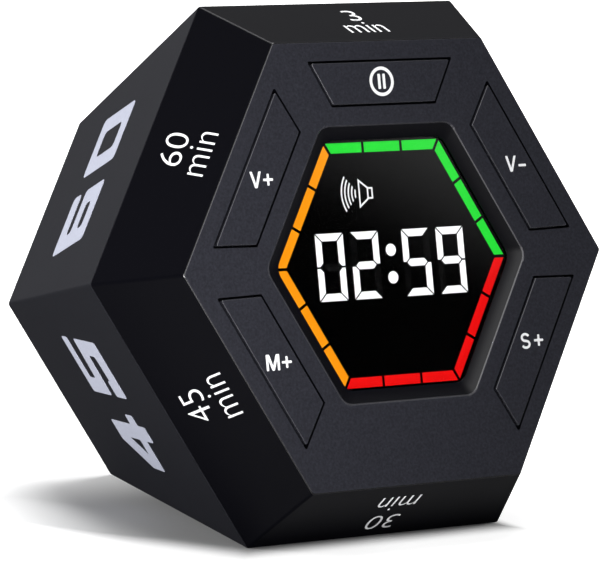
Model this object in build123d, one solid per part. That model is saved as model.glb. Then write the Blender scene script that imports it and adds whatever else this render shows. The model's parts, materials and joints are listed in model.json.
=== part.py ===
from build123d import *
import math
import os

# Hexagonal flip timer. Lengths are millimetres.
# It is drawn upright: X to the right, Y to the back from the seam, Z up. At the end the whole timer
# is laid back on its lower rear facet, which is how it stands on a table.

# Case: a short steep frustum in front and a long slim one behind, joined at the widest hexagon.
# Each inset is how much less the corner radius is there than at the seam.
seam_corner_r = 40.0
front_corner_inset = 7.1
back_corner_inset = 12.4
front_depth = 10.6
rear_depth = 40.4
wall = 2.0
edge_round = 0.25
side_edge_round = 0.6
seam_reveal = 0.2
tongue_reach = 1.6
tongue_root = 2.4
tongue_thickness = 1.0
tongue_clearance = 0.15
overrun = 1.0

# Window recess, lens and its adhesive frame
window_share = 0.622
window_slope_width = 2.06
window_slope_depth = 0.75
window_land_depth = 0.15
window_round = 2.0
window_edge_round = 0.8
lens_seat_width = 2.2
lens_thickness = 0.5
lens_clearance = 0.1
tape_thickness = 0.12
tape_inset = 0.3

# Keys: five equal trapezoids round the window, none on the lower side
key_names = ("second", "volume_down", "pause", "volume_up", "minute")
key_window_margin = 2.38
key_spoke_margin = 3.4
key_face_margin = 2.44
key_side_angle = 28.7
key_round = 0.2
key_edge_round = 0.12
key_groove = 0.3
key_rise = 0.14
key_flange = 0.5
key_flange_thickness = 0.8
key_flange_clearance = 0.1
key_stem_r = 1.6
key_travel = 0.3

# Display block with its light windows
display_lap = 0.4
display_round = 1.5
display_thickness = 6.7
display_gap = 0.05
light_depth = 1.2
stroke_gap = 0.12
bar_inset = 0.35
bar_width = 1.3
bar_gap = 0.4
symbol_stroke = 0.22
wave_count = 5
wave_half_angle = 47
pin_r = 0.25
pin_spacing = 2.2
pin_inset = 1.78
pins_per_row = 8
pin_tail = 0.6
pin_hole_clearance = 0.1

# The display's artwork, as shares of the light bars' corner radius
digit_pair_share = 0.3753
digit_spacing_share = 0.303
digit_width_share = 0.2415
digit_height_share = 0.4775
digit_drop_share = 0.0056
stroke_share = 0.0532
colon_share = 0.0437
colon_height_share = 0.098
symbol_x_share = 0.236
symbol_height_share = 0.5035
horn_mouth_share = 0.105
horn_throat_share = 0.0415
horn_length_share = 0.0853
horn_box_share = 0.0382
wave_first_share = 0.1157
wave_spacing_share = 0.0295

# Main board and what the front shell holds it with
board_clearance = 1.8
board_round = 1.0
board_thickness = 1.6
board_boss_r = 2.0
board_boss_inset = 3.5
board_pilot_depth = 4.6
board_screw_length = 5.6
board_hole_clearance = 0.2
case_boss_r = 2.1
case_boss_gap = 2.04
case_boss_rise = 1.3
case_pilot_depth = 7.6
case_boss_clearance = 0.25

# Small screws: cross recess, self-tapping
screw_shank_r = 0.8
screw_head_r = 1.7
screw_head_height = 1.1
screw_tip = 0.6
screw_fit = 0.04
screw_recess_depth = 0.6
screw_recess_width = 0.45
screw_recess_length = 2.0
case_screw_length = 8.0
charge_screw_length = 5.0

# Tact switches
switch_side = 6.0
switch_height = 3.4
switch_floor = 0.9
switch_cavity_r = 2.5
switch_cover = 0.2
switch_leg_width = 0.7
switch_leg_reach = 1.0
switch_leg_thickness = 0.3
switch_leg_spacing = 4.5
plunger_r = 1.75
plunger_flange_r = 2.35
plunger_flange_thickness = 0.5
plunger_clearance = 0.08
plunger_height = 4.3

# Chips: width, length, thickness, then legs
controller_size = (7.0, 7.0, 1.4)
controller_x = -2.5
driver_size = (12.0, 5.6, 2.0)
driver_inset = 6.44
sensor_size = (3.0, 3.0, 1.0)
sensor_x = 5.2
chip_inset = 6.94
chip_leg_spacing = 1.0
chip_leg_width = 0.4
chip_leg_reach = 0.8
chip_leg_thickness = 0.2

# Battery on foam tape behind the board
cell_end_gap = 3.5
cell_side_gap = 1.4
cell_thickness = 6.0
cell_round = 1.2
cell_strip_length = 2.0
cell_strip_inset = 2.0
cell_strip_thickness = 1.6
pad_end_inset = 2.0
pad_side_inset = 4.0
pad_thickness = 1.0

# Wire-to-board connectors and their wires
connector_end = 1.5
connector_height = 4.0
connector_length = 5.0
connector_wall = 0.7
connector_pocket = 3.8
plug_clearance = 0.1
plug_inset = 3.6
plug_reach = 1.5
wire_r = 0.35
wire_spacing = 1.5
wire_bend_share = 0.45
wire_lift = 0.02
side_connector_inset = 7.5
side_connector_top = -3.0
charge_connector_inset = 7.44
battery_wire_height = 8.0
speaker_wire_rise = 5.5
speaker_route = ((-24.0, 11.0, 9.0), (-13.0, 20.0, 6.0))
speaker_wire_end_depth = 26.0
charge_bend_back = 16.0
charge_bend_front = 13.0

# Rear shell: screw wells, ribs, grille, speaker seat
column_wall = 1.0
column_floor = 2.0
well_r = 2.1
rib_thickness = 1.2
rib_start = 6.0
speaker_share = 0.51
speaker_gap = 0.8
speaker_flange_width = 1.4
speaker_flange_thickness = 1.0
speaker_body_depth = 3.2
speaker_body_wall = 0.6
speaker_vent_share = 0.5
magnet_share = 0.65
magnet_thickness = 3.0
cone_thickness = 0.25
cone_clearance = 0.2
cone_dish = 1.6
dome_share = 0.36
gasket_thickness = 0.8
gasket_width = 1.6
seat_clearance = 0.2
seat_thickness = 1.2
seat_height = 3.4
tab_gap = 0.25
tab_height = 1.8
tab_thickness = 0.8
grille_hole_r = 0.75
grille_margin = 1.6
grille_rings = 3

# Charge board with the socket and the power switch, under the speaker
charge_board_lift = 0.5
charge_board_thickness = 1.2
charge_board_half = 13.0
charge_board_depth = 13.0
charge_board_gap = 0.5
charge_post_x = 5.8
charge_post_from_back = 9.9
charge_post_r = 2.0
charge_pilot_depth = 4.4
charge_pad_inset = 1.5
usb_x = 5.5
usb_width = 8.94
usb_height = 3.26
usb_length = 7.35
usb_shell = 0.3
usb_sunk = 0.6
usb_round = 1.3
usb_clearance = 0.2
usb_tongue_width = 6.7
usb_tongue_thickness = 0.7
usb_tongue_length = 4.9
switch_x = -6.0
power_body_length = 8.6
power_body_height = 3.6
power_body_depth = 3.8
power_body_gap = 0.3
power_cavity_depth = 1.7
power_foot_gap = 0.15
slider_length = 2.2
slider_height = 1.5
slider_travel = 2.0
slider_clearance = 0.15
slider_sunk = 0.3
slider_round = 0.25
recess_length = 9.0
recess_height = 4.4
recess_depth = 1.0
recess_round = 0.8

# Worked out from the sizes above
side_cos = math.cos(math.radians(30))
side_tan = math.tan(math.radians(30))
boss_angles = [60 * i for i in range(6) if i % 3]
key_angles = {name: 60 * i - 30 for i, name in enumerate(key_names)}
face_corner_r = seam_corner_r - front_corner_inset
back_corner_r = seam_corner_r - back_corner_inset
window_corner_r = face_corner_r * window_share
case_boss_place_r = window_corner_r + case_boss_gap
face_y = -front_depth
face_inner_y = face_y + wall
back_y = rear_depth
back_inner_y = back_y - wall
front_slope = math.atan(front_corner_inset * side_cos / front_depth)
rear_slope = math.atan(back_corner_inset * side_cos / rear_depth)
window_floor_corner_r = window_corner_r - window_slope_width
lens_corner_r = window_floor_corner_r + lens_seat_width
display_corner_r = window_floor_corner_r + display_lap
bar_corner_r = window_floor_corner_r - bar_inset
key_inner_height = window_corner_r * side_cos + key_window_margin
key_outer_height = face_corner_r * side_cos - key_face_margin
key_length = key_outer_height - key_inner_height
key_middle = (key_inner_height + key_outer_height) / 2
key_inner_half = key_inner_height * side_tan - key_spoke_margin
key_outer_half = key_inner_half + key_length * math.tan(math.radians(key_side_angle))
shoulder_y = face_y + window_slope_depth + window_land_depth
lens_y = shoulder_y + tape_thickness
display_y = lens_y + lens_thickness + display_gap
board_y = display_y + display_thickness
board_back_y = board_y + board_thickness
boss_top_y = board_back_y + case_boss_rise
plunger_tip_y = board_y - plunger_height
flange_y = face_inner_y + key_flange_clearance
column_r = well_r + column_wall
cell_width = 2 * (case_boss_place_r * side_cos - column_r - cell_side_gap)
gasket_y = back_inner_y - gasket_thickness
speaker_flange_y = gasket_y - speaker_flange_thickness
speaker_body_y = speaker_flange_y - speaker_body_depth
charge_post_y = back_inner_y - charge_post_from_back
charge_board_y = (back_inner_y - charge_board_gap - charge_board_depth, back_inner_y - charge_board_gap)
power_back_y = back_inner_y - power_body_gap


def front_corner(y):
    return seam_corner_r + front_corner_inset * y / front_depth


def rear_corner(y):
    return seam_corner_r - back_corner_inset * y / rear_depth


def front_inner_corner(y):
    return front_corner(y) - wall / (math.cos(front_slope) * side_cos)


def rear_inner_corner(y):
    return rear_corner(y) - wall / (math.cos(rear_slope) * side_cos)


# The front shell's tongue slides into the rear shell, and the board fits inside the tongue
tongue_apothem = rear_inner_corner(tongue_reach) * side_cos - tongue_clearance
board_corner_r = (tongue_apothem - tongue_thickness) / side_cos - board_clearance
board_boss_place_r = board_corner_r - board_boss_inset
side_connector_x = board_corner_r - side_connector_inset
cell_half_length = side_connector_x - wire_spacing - connector_end - cell_end_gap

# The charge board lies above the lower screw columns, and the speaker above what the board carries
charge_board_top = charge_board_lift + charge_board_thickness + column_r - case_boss_place_r * side_cos
power_height = charge_board_top + power_body_height / 2
usb_height_centre = charge_board_top + usb_height / 2
speaker_flange_r = rear_inner_corner(back_inner_y) * side_cos * speaker_share
speaker_body_r = speaker_flange_r - speaker_flange_width
magnet_r = speaker_body_r * magnet_share
speaker_seat_r = speaker_flange_r + seat_clearance + seat_thickness
speaker_height = charge_board_top + power_body_height + speaker_gap + speaker_seat_r
speaker_tab_x = -(speaker_body_r + magnet_r) / 2


def front_plane(y):
    return Plane(origin=(0, y, 0), x_dir=(1, 0, 0), z_dir=(0, -1, 0))


def polar(radius, angle):
    return (radius * math.cos(math.radians(angle)), radius * math.sin(math.radians(angle)))


def hexagon(corner_r):
    return Polygon(*[polar(corner_r, 60 * i) for i in range(6)], align=None)


def soft_hexagon(corner_r, radius):
    return fillet(hexagon(corner_r).vertices(), radius)


def slab(sketch, y_front, y_back):
    return extrude(front_plane(y_back) * sketch, amount=y_back - y_front, dir=(0, -1, 0))


def tapered_block(corner_r, slope, y_start, y_end):
    towards = math.copysign(1, y_end - y_start)
    start = Plane(origin=(0, y_start, 0), x_dir=(1, 0, 0), z_dir=(0, towards, 0))
    block = extrude(start * hexagon(corner_r), amount=abs(y_end - y_start))
    return draft(block.faces().filter_by(Axis.Y, reverse=True), start, math.degrees(slope))


def rod(place, radius, y_front, y_back):
    return slab(Pos(*place) * Circle(radius), y_front, y_back)


def brick(x_span, y_span, z_span):
    spans = (x_span, y_span, z_span)
    centre = [(low + high) / 2 for low, high in spans]
    return Pos(*centre) * Box(*[high - low for low, high in spans])


def about(middle, half):
    return (middle - half, middle + half)


def group(shapes):
    return Part(children=[]) + [solid for shape in shapes for solid in shape.solids()]


def off_axis(place):
    return math.hypot(place.X, place.Z)


# Shells
def rear_outer():
    start = seam_reveal / 2
    blank = tapered_block(rear_corner(start), rear_slope, start, back_y)
    sides = blank.edges().group_by(Axis.Y)[1]
    blank = fillet(sides, side_edge_round)
    return fillet(blank.edges().group_by(Axis.Y)[-1], edge_round)


def key_outline(grow):
    corners = [
        (-key_inner_half, key_inner_height),
        (key_inner_half, key_inner_height),
        (key_outer_half, key_outer_height),
        (-key_outer_half, key_outer_height),
    ]
    shape = offset(Polygon(*corners, align=None), amount=grow, kind=Kind.INTERSECTION)
    return fillet(shape.vertices(), key_round)


def at_key(angle, sketch):
    return Rot(Z=angle - 90) * sketch


def tongue():
    outside = hexagon(tongue_apothem / side_cos)
    inside = hexagon((tongue_apothem - tongue_thickness) / side_cos)
    return slab(outside - inside, -tongue_root, tongue_reach)


def window_cut():
    slope = window_slope_width / window_slope_depth
    mouth = soft_hexagon(window_corner_r + slope * overrun, window_round)
    floor = soft_hexagon(window_floor_corner_r, window_round)
    slope_end = face_y + window_slope_depth
    cut = loft([front_plane(face_y - overrun) * mouth, front_plane(slope_end) * floor], ruled=True)
    cut += slab(floor, slope_end, face_inner_y + overrun)
    return cut + slab(soft_hexagon(lens_corner_r, window_round), shoulder_y, face_inner_y + overrun)


def front_shell():
    end = -seam_reveal / 2
    blank = tapered_block(front_corner(end), front_slope, end, face_y)
    sides = blank.edges().group_by(Axis.Y)[1]
    outer = fillet(sides, side_edge_round)
    outer = fillet(outer.edges().group_by(Axis.Y)[0], edge_round)
    shell = outer - tapered_block(front_inner_corner(overrun), front_slope, overrun, face_inner_y)
    shell += tongue()
    shell -= window_cut()
    face_edges = shell.edges().group_by(Axis.Y)[0]
    mouth = face_edges.filter_by(lambda edge: off_axis(edge.center()) < window_corner_r)
    shell = fillet(mouth, window_edge_round)
    for angle in key_angles.values():
        shell -= slab(at_key(angle, key_outline(0)), face_y - overrun, face_inner_y + overrun)
    pilot_r = screw_shank_r + screw_fit
    for angle in boss_angles:
        place = polar(board_boss_place_r, angle)
        shell += rod(place, board_boss_r, face_inner_y - wall / 2, board_y)
        shell -= rod(place, pilot_r, board_y - board_pilot_depth, board_y + overrun)
    for angle in boss_angles:
        place = polar(case_boss_place_r, angle)
        shell += rod(place, case_boss_r, face_inner_y - wall / 2, boss_top_y)
        shell -= rod(place, pilot_r, boss_top_y - case_pilot_depth, boss_top_y + overrun)
    return shell


def grille_places():
    reach = speaker_body_r - speaker_body_wall - grille_margin
    places = [(0, speaker_height)]
    for ring in range(1, grille_rings + 1):
        for i in range(6 * ring):
            x, z = polar(reach * ring / grille_rings, 60 * i / ring)
            places.append((x, speaker_height + z))
    return places


def rear_shell():
    outer = rear_outer()
    shell = outer - tapered_block(rear_inner_corner(-overrun), rear_slope, -overrun, back_inner_y)
    inside = []
    for angle in boss_angles:
        inside.append(rod(polar(case_boss_place_r, angle), column_r, boss_top_y, back_inner_y + wall / 2))
        rib_middle = (case_boss_place_r + seam_corner_r) / 2
        rib = Rectangle(seam_corner_r - case_boss_place_r, rib_thickness)
        rib = Rot(Z=angle) * Pos(rib_middle, 0) * rib
        inside.append(slab(rib, rib_start, back_inner_y + wall / 2))
    for x in (-charge_post_x, charge_post_x):
        post_top = charge_board_top - charge_board_thickness
        post = Pos(x, charge_post_y, (post_top - seam_corner_r) / 2)
        inside.append(post * Cylinder(charge_post_r, post_top + seam_corner_r))
    ring = Circle(speaker_seat_r) - Circle(speaker_seat_r - seat_thickness)
    inside.append(slab(Pos(0, speaker_height) * ring, back_inner_y - seat_height, back_inner_y + wall / 2))
    for feature in inside:
        shell += feature & outer
    for angle in boss_angles:
        place = polar(case_boss_place_r, angle)
        shell -= rod(place, well_r, boss_top_y + column_floor, back_y + overrun)
        shell -= rod(place, screw_shank_r + board_hole_clearance, boss_top_y - overrun, back_y)
    for x in (-charge_post_x, charge_post_x):
        depth = charge_pilot_depth + overrun
        top = charge_board_top - charge_board_thickness + overrun
        shell -= Pos(x, charge_post_y, top - depth / 2) * Cylinder(screw_shank_r + screw_fit, depth)
    for place in grille_places():
        shell -= rod(place, grille_hole_r, back_inner_y - overrun, back_y + overrun)
    usb_hole = RectangleRounded(
        usb_width + 2 * usb_clearance, usb_height + 2 * usb_clearance, usb_round + usb_clearance
    )
    shell -= slab(Pos(usb_x, usb_height_centre) * usb_hole, back_inner_y - overrun, back_y + overrun)
    recess = RectangleRounded(recess_length, recess_height, recess_round)
    shell -= slab(Pos(switch_x, power_height) * recess, back_y - recess_depth, back_y + overrun)
    slot = Rectangle(slider_length + slider_travel + 2 * slider_clearance, slider_height + 2 * slider_clearance)
    shell -= slab(Pos(switch_x, power_height) * slot, back_inner_y - overrun, back_y + overrun)
    return shell


# Window
def window_lens():
    outline = soft_hexagon(lens_corner_r - lens_clearance / side_cos, window_round)
    return slab(outline, lens_y, lens_y + lens_thickness)


def lens_tape():
    outside = soft_hexagon(lens_corner_r - tape_inset / side_cos, window_round)
    inside = soft_hexagon(window_floor_corner_r + tape_inset / side_cos, window_round)
    return slab(outside - inside, shoulder_y, lens_y)


# Display block
def digit_strokes(x):
    half = bar_corner_r * digit_width_share / 2
    top = bar_corner_r * digit_height_share / 2
    stroke = bar_corner_r * stroke_share
    middle_z = -bar_corner_r * digit_drop_share
    upper = [(-half, top - stroke_gap), (-half + stroke, top - stroke - stroke_gap),
             (-half + stroke, stroke / 2 + stroke_gap), (-half + stroke / 2, stroke_gap), (-half, stroke_gap)]
    cap = [(-half + stroke_gap, top), (half - stroke_gap, top),
           (half - stroke - stroke_gap, top - stroke), (-half + stroke + stroke_gap, top - stroke)]
    inset = half - stroke / 2 - stroke_gap
    shoulder = half - stroke - stroke_gap
    middle = [(-inset, 0), (-shoulder, stroke / 2), (shoulder, stroke / 2),
              (inset, 0), (shoulder, -stroke / 2), (-shoulder, -stroke / 2)]
    outlines = {
        "a": cap,
        "b": [(-px, pz) for px, pz in upper],
        "c": [(-px, -pz) for px, pz in upper],
        "d": [(px, -pz) for px, pz in cap],
        "e": [(px, -pz) for px, pz in upper],
        "f": upper,
        "g": middle,
    }
    return {
        name: Polygon(*[(x + px, middle_z + pz) for px, pz in points], align=None)
        for name, points in outlines.items()
    }


def light_bar(side_angle, index):
    outer_half = bar_corner_r / 2
    outer_line = bar_corner_r * side_cos
    inner_half = outer_half - bar_width / side_cos / 2
    third = bar_corner_r / 3
    mitre = bar_gap / 2 / side_cos
    left_out = -outer_half + index * third + bar_gap / 2
    left_in = left_out
    right_out = -outer_half + (index + 1) * third - bar_gap / 2
    right_in = right_out
    if index == 0:
        left_out = -outer_half + mitre
        left_in = -inner_half + mitre
    if index == 2:
        right_out = outer_half - mitre
        right_in = inner_half - mitre
    inner_line = outer_line - bar_width
    corners = [(left_out, outer_line), (right_out, outer_line), (right_in, inner_line), (left_in, inner_line)]
    return Rot(Z=side_angle - 90) * Polygon(*corners, align=None)


def speaker_symbol():
    symbol_x = -bar_corner_r * symbol_x_share
    symbol_height = bar_corner_r * symbol_height_share
    horn_mouth_half = bar_corner_r * horn_mouth_share
    horn_throat_half = bar_corner_r * horn_throat_share
    horn_end = symbol_x + bar_corner_r * horn_length_share
    horn_box_length = bar_corner_r * horn_box_share
    box_end = horn_end + horn_box_length
    horn = [(symbol_x, -horn_mouth_half), (horn_end, -horn_throat_half),
            (horn_end, horn_throat_half), (symbol_x, horn_mouth_half)]
    horn_face = Polygon(*[(x, symbol_height + z) for x, z in horn], align=None)
    horn_ring = horn_face - offset(horn_face, amount=-symbol_stroke, kind=Kind.INTERSECTION)
    box_middle = (horn_end + box_end - symbol_stroke) / 2
    box_face = Rectangle(horn_box_length + symbol_stroke, 2 * horn_throat_half)
    box_hole = Rectangle(horn_box_length - symbol_stroke, 2 * (horn_throat_half - symbol_stroke))
    shapes = [horn_ring + Pos(box_middle, symbol_height) * (box_face - box_hole)]
    for i in range(wave_count):
        radius = bar_corner_r * (wave_first_share + i * wave_spacing_share)
        reach = radius + symbol_stroke
        tip = reach / math.cos(math.radians(wave_half_angle / 2))
        wedge = [(0, 0)] + [polar(tip, 180 + turn) for turn in (-wave_half_angle, 0, wave_half_angle)]
        ring = Circle(radius + symbol_stroke / 2) - Circle(radius - symbol_stroke / 2)
        wave = (Pos(horn_end - symbol_x, 0) * ring) & Polygon(*wedge, align=None)
        shapes.append(Pos(symbol_x, symbol_height) * wave)
    return shapes


def display_lights():
    lit = {0: "abcdef", 1: "abdeg", 2: "acdfg", 3: "abcdfg"}
    on = []
    off = []
    pair_x = bar_corner_r * digit_pair_share
    shift = bar_corner_r * digit_spacing_share / 2
    for index, x in enumerate((-pair_x - shift, -pair_x + shift, pair_x - shift, pair_x + shift)):
        for name, outline in digit_strokes(x).items():
            if name in lit[index]:
                on.append(outline)
            else:
                off.append(outline)
    for share in (-digit_drop_share - colon_height_share, -digit_drop_share + colon_height_share):
        on.append(Pos(0, bar_corner_r * share) * Circle(bar_corner_r * colon_share))
    sides = {"bars_green": (90, 30), "bars_orange": (150, 210), "bars_red": (-30, 270)}
    lights = {"digit_segments": on, "idle_segments": off, "speaker_symbol": speaker_symbol()}
    for name, angles in sides.items():
        lights[name] = [light_bar(angle, index) for angle in angles for index in range(3)]
    return {
        name: group([slab(sketch, display_y, display_y + light_depth) for sketch in sketches])
        for name, sketches in lights.items()
    }


def display_housing(lights):
    block = slab(soft_hexagon(display_corner_r, display_round), display_y, board_y)
    for light in lights.values():
        block -= light
    return block


def pin_places():
    first = -pin_spacing * (pins_per_row - 1) / 2
    row = display_corner_r * side_cos - pin_inset
    return [(first + i * pin_spacing, z) for z in (-row, row) for i in range(pins_per_row)]


def display_pins():
    return group([rod(place, pin_r, board_y, board_back_y + pin_tail) for place in pin_places()])


# Boards
def main_board():
    board = slab(soft_hexagon(board_corner_r, board_round), board_y, board_back_y)
    holes = [(place, pin_r + pin_hole_clearance) for place in pin_places()]
    for angle in boss_angles:
        holes.append((polar(case_boss_place_r, angle), case_boss_r + case_boss_clearance))
    for angle in boss_angles:
        holes.append((polar(board_boss_place_r, angle), screw_shank_r + board_hole_clearance))
    for place, radius in holes:
        board -= rod(place, radius, board_y - overrun, board_back_y + overrun)
    return board


def charge_board():
    z_span = (charge_board_top - charge_board_thickness, charge_board_top)
    board = brick(about(0, charge_board_half), charge_board_y, z_span)
    for x in (-charge_post_x, charge_post_x):
        hole = Cylinder(screw_shank_r + board_hole_clearance, charge_board_thickness + 2 * overrun)
        board -= Pos(x, charge_post_y, charge_board_top - charge_board_thickness / 2) * hole
    return board


def chip(size, legs_all_round):
    width, length, thickness = size
    body = Pos(0, 0, thickness / 2) * Box(width, length, thickness)
    leg = Pos(0, 0, chip_leg_thickness / 2) * Box(
        chip_leg_width, length + 2 * chip_leg_reach, chip_leg_thickness
    )
    count = int((width - chip_leg_width) // chip_leg_spacing)
    for i in range(count):
        body += Pos((i - (count - 1) / 2) * chip_leg_spacing, 0) * leg
    if legs_all_round:
        side_leg = Pos(0, 0, chip_leg_thickness / 2) * Box(
            width + 2 * chip_leg_reach, chip_leg_width, chip_leg_thickness
        )
        for i in range(count):
            body += Pos(0, (i - (count - 1) / 2) * chip_leg_spacing) * side_leg
    return body


def behind_board(x):
    height = board_corner_r * side_cos - chip_inset
    return Plane(origin=(x, board_back_y, height), x_dir=(1, 0, 0), z_dir=(0, 1, 0)).location


def before_board():
    height = driver_inset - board_corner_r * side_cos
    return Plane(origin=(0, board_y, height), x_dir=(1, 0, 0), z_dir=(0, -1, 0)).location


# Keys with their switches
def key_cap(angle):
    cap = slab(key_outline(-key_groove), face_y - key_rise, flange_y)
    cap = fillet(cap.edges().group_by(Axis.Y)[0], key_edge_round)
    cap += slab(key_outline(key_flange), flange_y, flange_y + key_flange_thickness)
    cap += rod((0, key_middle), key_stem_r, flange_y, plunger_tip_y)
    return Rot(Y=90 - angle) * cap


def tact_switch(angle):
    top_y = board_y - switch_height
    body = slab(Pos(0, key_middle) * Rectangle(switch_side, switch_side), top_y, board_y)
    for x in (-switch_leg_spacing / 2, switch_leg_spacing / 2):
        leg = Rectangle(switch_leg_width, switch_side + 2 * switch_leg_reach)
        body += slab(Pos(x, key_middle) * leg, board_y - switch_leg_thickness, board_y)
    body -= rod((0, key_middle), switch_cavity_r, top_y + switch_cover, board_y - switch_floor)
    body -= rod((0, key_middle), plunger_r + plunger_clearance, top_y - overrun, board_y - switch_floor)
    return Rot(Y=90 - angle) * body


def switch_plunger(angle):
    flange_top = board_y - switch_height + switch_cover + plunger_clearance
    foot = board_y - switch_floor - key_travel - plunger_clearance
    plunger = rod((0, key_middle), plunger_r, plunger_tip_y, foot)
    plunger += rod((0, key_middle), plunger_flange_r, flange_top, flange_top + plunger_flange_thickness)
    return Rot(Y=90 - angle) * plunger


# Battery
def battery_cell():
    front = board_back_y + pad_thickness
    right = cell_half_length - cell_strip_length
    pouch = brick((-cell_half_length, right), (front, front + cell_thickness), about(0, cell_width / 2))
    pouch = fillet(pouch.edges().filter_by(Axis.X), cell_round)
    strip_y = board_back_y + connector_height / 2
    strip = brick((right, right + cell_strip_length), about(strip_y, cell_strip_thickness / 2),
                  about(0, cell_width / 2 - cell_strip_inset))
    return pouch + strip


def battery_pad():
    half_length = cell_half_length - cell_strip_length / 2 - pad_end_inset
    return brick(about(-cell_strip_length / 2, half_length), (board_back_y, board_back_y + pad_thickness),
                 about(0, cell_width / 2 - pad_side_inset))


# Connectors: the pocket opens along the plane's own Z
def header(plane, ways):
    width = ways * wire_spacing + 2 * connector_end
    box = Pos(0, 0, -connector_length / 2) * Box(width, connector_height, connector_length)
    pocket = Box(width - 2 * connector_wall, connector_height - 2 * connector_wall, 2 * connector_pocket)
    return plane.location * (box - pocket)


def plug(plane, ways):
    width = ways * wire_spacing + 2 * (connector_end - connector_wall - plug_clearance)
    height = connector_height - 2 * (connector_wall + plug_clearance)
    body = Pos(0, 0, (plug_reach - plug_inset) / 2) * Box(width, height, plug_inset + plug_reach)
    return plane.location * body


def side_plane(x):
    origin = (x, board_back_y + connector_height / 2, side_connector_top)
    return Plane(origin=origin, x_dir=(1, 0, 0), z_dir=(0, 0, 1))


def charge_connector_height():
    return charge_connector_inset - board_corner_r * side_cos


def charge_plane():
    origin = (0, board_back_y + connector_length, charge_connector_height())
    return Plane(origin=origin, x_dir=(1, 0, 0), z_dir=(0, 1, 0))


def wire(name, points):
    corners = [Vector(*point) for point in points]
    radii = []
    for before, corner, after in zip(corners, corners[1:], corners[2:]):
        turn = math.radians((corner - before).get_angle(after - corner))
        shorter = min((corner - before).length, (after - corner).length)
        radii.append(wire_bend_share * shorter / math.tan(turn / 2))
    path = FilletPolyline(*corners, radius=radii)
    start = Plane(origin=corners[0], z_dir=corners[1] - corners[0])
    tube = sweep(start * Circle(wire_r), path=path)
    ratio = tube.volume / (math.pi * wire_r**2 * path.length)
    print(name, "bend radii", [round(radius, 2) for radius in radii], "volume ratio", round(ratio, 4))
    return tube


def battery_lead():
    y = board_back_y + connector_height / 2
    wires = []
    for shift in (-wire_spacing / 2, wire_spacing / 2):
        x = side_connector_x + shift
        top = battery_wire_height + shift
        points = [(x, y, side_connector_top + plug_reach), (x, y, top), (cell_half_length, y, top)]
        wires.append(wire("battery wire", points))
    return group(wires)


def speaker_lead():
    y = board_back_y + connector_height / 2
    tab_y = speaker_body_y - tab_thickness
    wires = []
    for shift in (-wire_spacing / 2, wire_spacing / 2):
        start_x = shift - side_connector_x
        end_x = shift + speaker_tab_x
        points = [(start_x, y, side_connector_top + plug_reach), (start_x, y, speaker_wire_rise)]
        points += [(x + shift, depth, z) for x, depth, z in speaker_route]
        points += [(end_x, speaker_wire_end_depth, speaker_height), (end_x, tab_y, speaker_height)]
        wires.append(wire("speaker wire", points))
    return group(wires)


def charge_lead():
    z = charge_board_top + wire_r + wire_lift
    start = charge_board_y[0] + charge_pad_inset
    end = board_back_y + connector_length + plug_reach
    height = charge_connector_height()
    wires = []
    for shift in (-wire_spacing, 0, wire_spacing):
        points = [(shift, start, z), (shift, charge_bend_back, z)]
        points += [(shift, charge_bend_front, height), (shift, end, height)]
        wires.append(wire("charge wire", points))
    return group(wires)


# Speaker
def speaker_basket():
    centre = (0, speaker_height)
    basket = rod(centre, speaker_flange_r, speaker_flange_y, gasket_y)
    basket += rod(centre, speaker_body_r, speaker_body_y, gasket_y)
    inner_r = speaker_body_r - speaker_body_wall
    basket -= rod(centre, inner_r, speaker_body_y + speaker_body_wall, gasket_y + overrun)
    basket -= rod(centre, speaker_body_r * speaker_vent_share, speaker_body_y - overrun, gasket_y)
    tab_x = about(speaker_tab_x, (speaker_body_r - magnet_r) / 2 - tab_gap)
    tab_z = about(speaker_height, tab_height / 2)
    return basket + brick(tab_x, (speaker_body_y - tab_thickness, speaker_body_y), tab_z)


def speaker_cone():
    outer_r = speaker_body_r - speaker_body_wall - cone_clearance
    rim = gasket_y - cone_clearance
    dome_r = speaker_body_r * dome_share
    section = [(dome_r, rim - cone_dish), (outer_r, rim - cone_thickness), (outer_r, rim),
               (dome_r, rim - cone_dish + cone_thickness), (0, rim - cone_dish + cone_thickness),
               (0, rim - cone_dish)]
    face = make_face(Polyline(*section, close=True))
    return Pos(0, 0, speaker_height) * revolve(face, axis=Axis.Y)


def speaker_magnet():
    return rod((0, speaker_height), magnet_r, speaker_body_y - magnet_thickness, speaker_body_y)


def speaker_gasket():
    ring = Circle(speaker_flange_r) - Circle(speaker_flange_r - gasket_width)
    return slab(Pos(0, speaker_height) * ring, gasket_y, back_inner_y)


# Socket and power switch
def usb_socket():
    span = (back_y - usb_sunk - usb_length, back_y - usb_sunk)
    outside = RectangleRounded(usb_width, usb_height, usb_round)
    inside = RectangleRounded(usb_width - 2 * usb_shell, usb_height - 2 * usb_shell, usb_round - usb_shell)
    shell = slab(Pos(usb_x, usb_height_centre) * outside, *span)
    return shell - slab(Pos(usb_x, usb_height_centre) * inside, span[0] + usb_shell, span[1] + overrun)


def usb_tongue():
    start = back_y - usb_sunk - usb_length + usb_shell
    outline = Pos(usb_x, usb_height_centre) * Rectangle(usb_tongue_width, usb_tongue_thickness)
    return slab(outline, start, start + usb_tongue_length)


def power_switch():
    outline = Pos(switch_x, power_height) * Rectangle(power_body_length, power_body_height)
    body = slab(outline, power_back_y - power_body_depth, power_back_y)
    cavity = Rectangle(slider_length + slider_travel + 2 * slider_clearance, slider_height + 2 * slider_clearance)
    cavity = Pos(switch_x, power_height) * cavity
    return body - slab(cavity, power_back_y - power_cavity_depth, power_back_y + overrun)


def power_slider():
    x = switch_x - slider_travel / 2
    outline = Pos(x, power_height) * Rectangle(slider_length, slider_height)
    start = power_back_y - power_cavity_depth + power_foot_gap
    lever = slab(outline, start, back_y - slider_sunk)
    return fillet(lever.edges().group_by(Axis.Y)[-1], slider_round)


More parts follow.
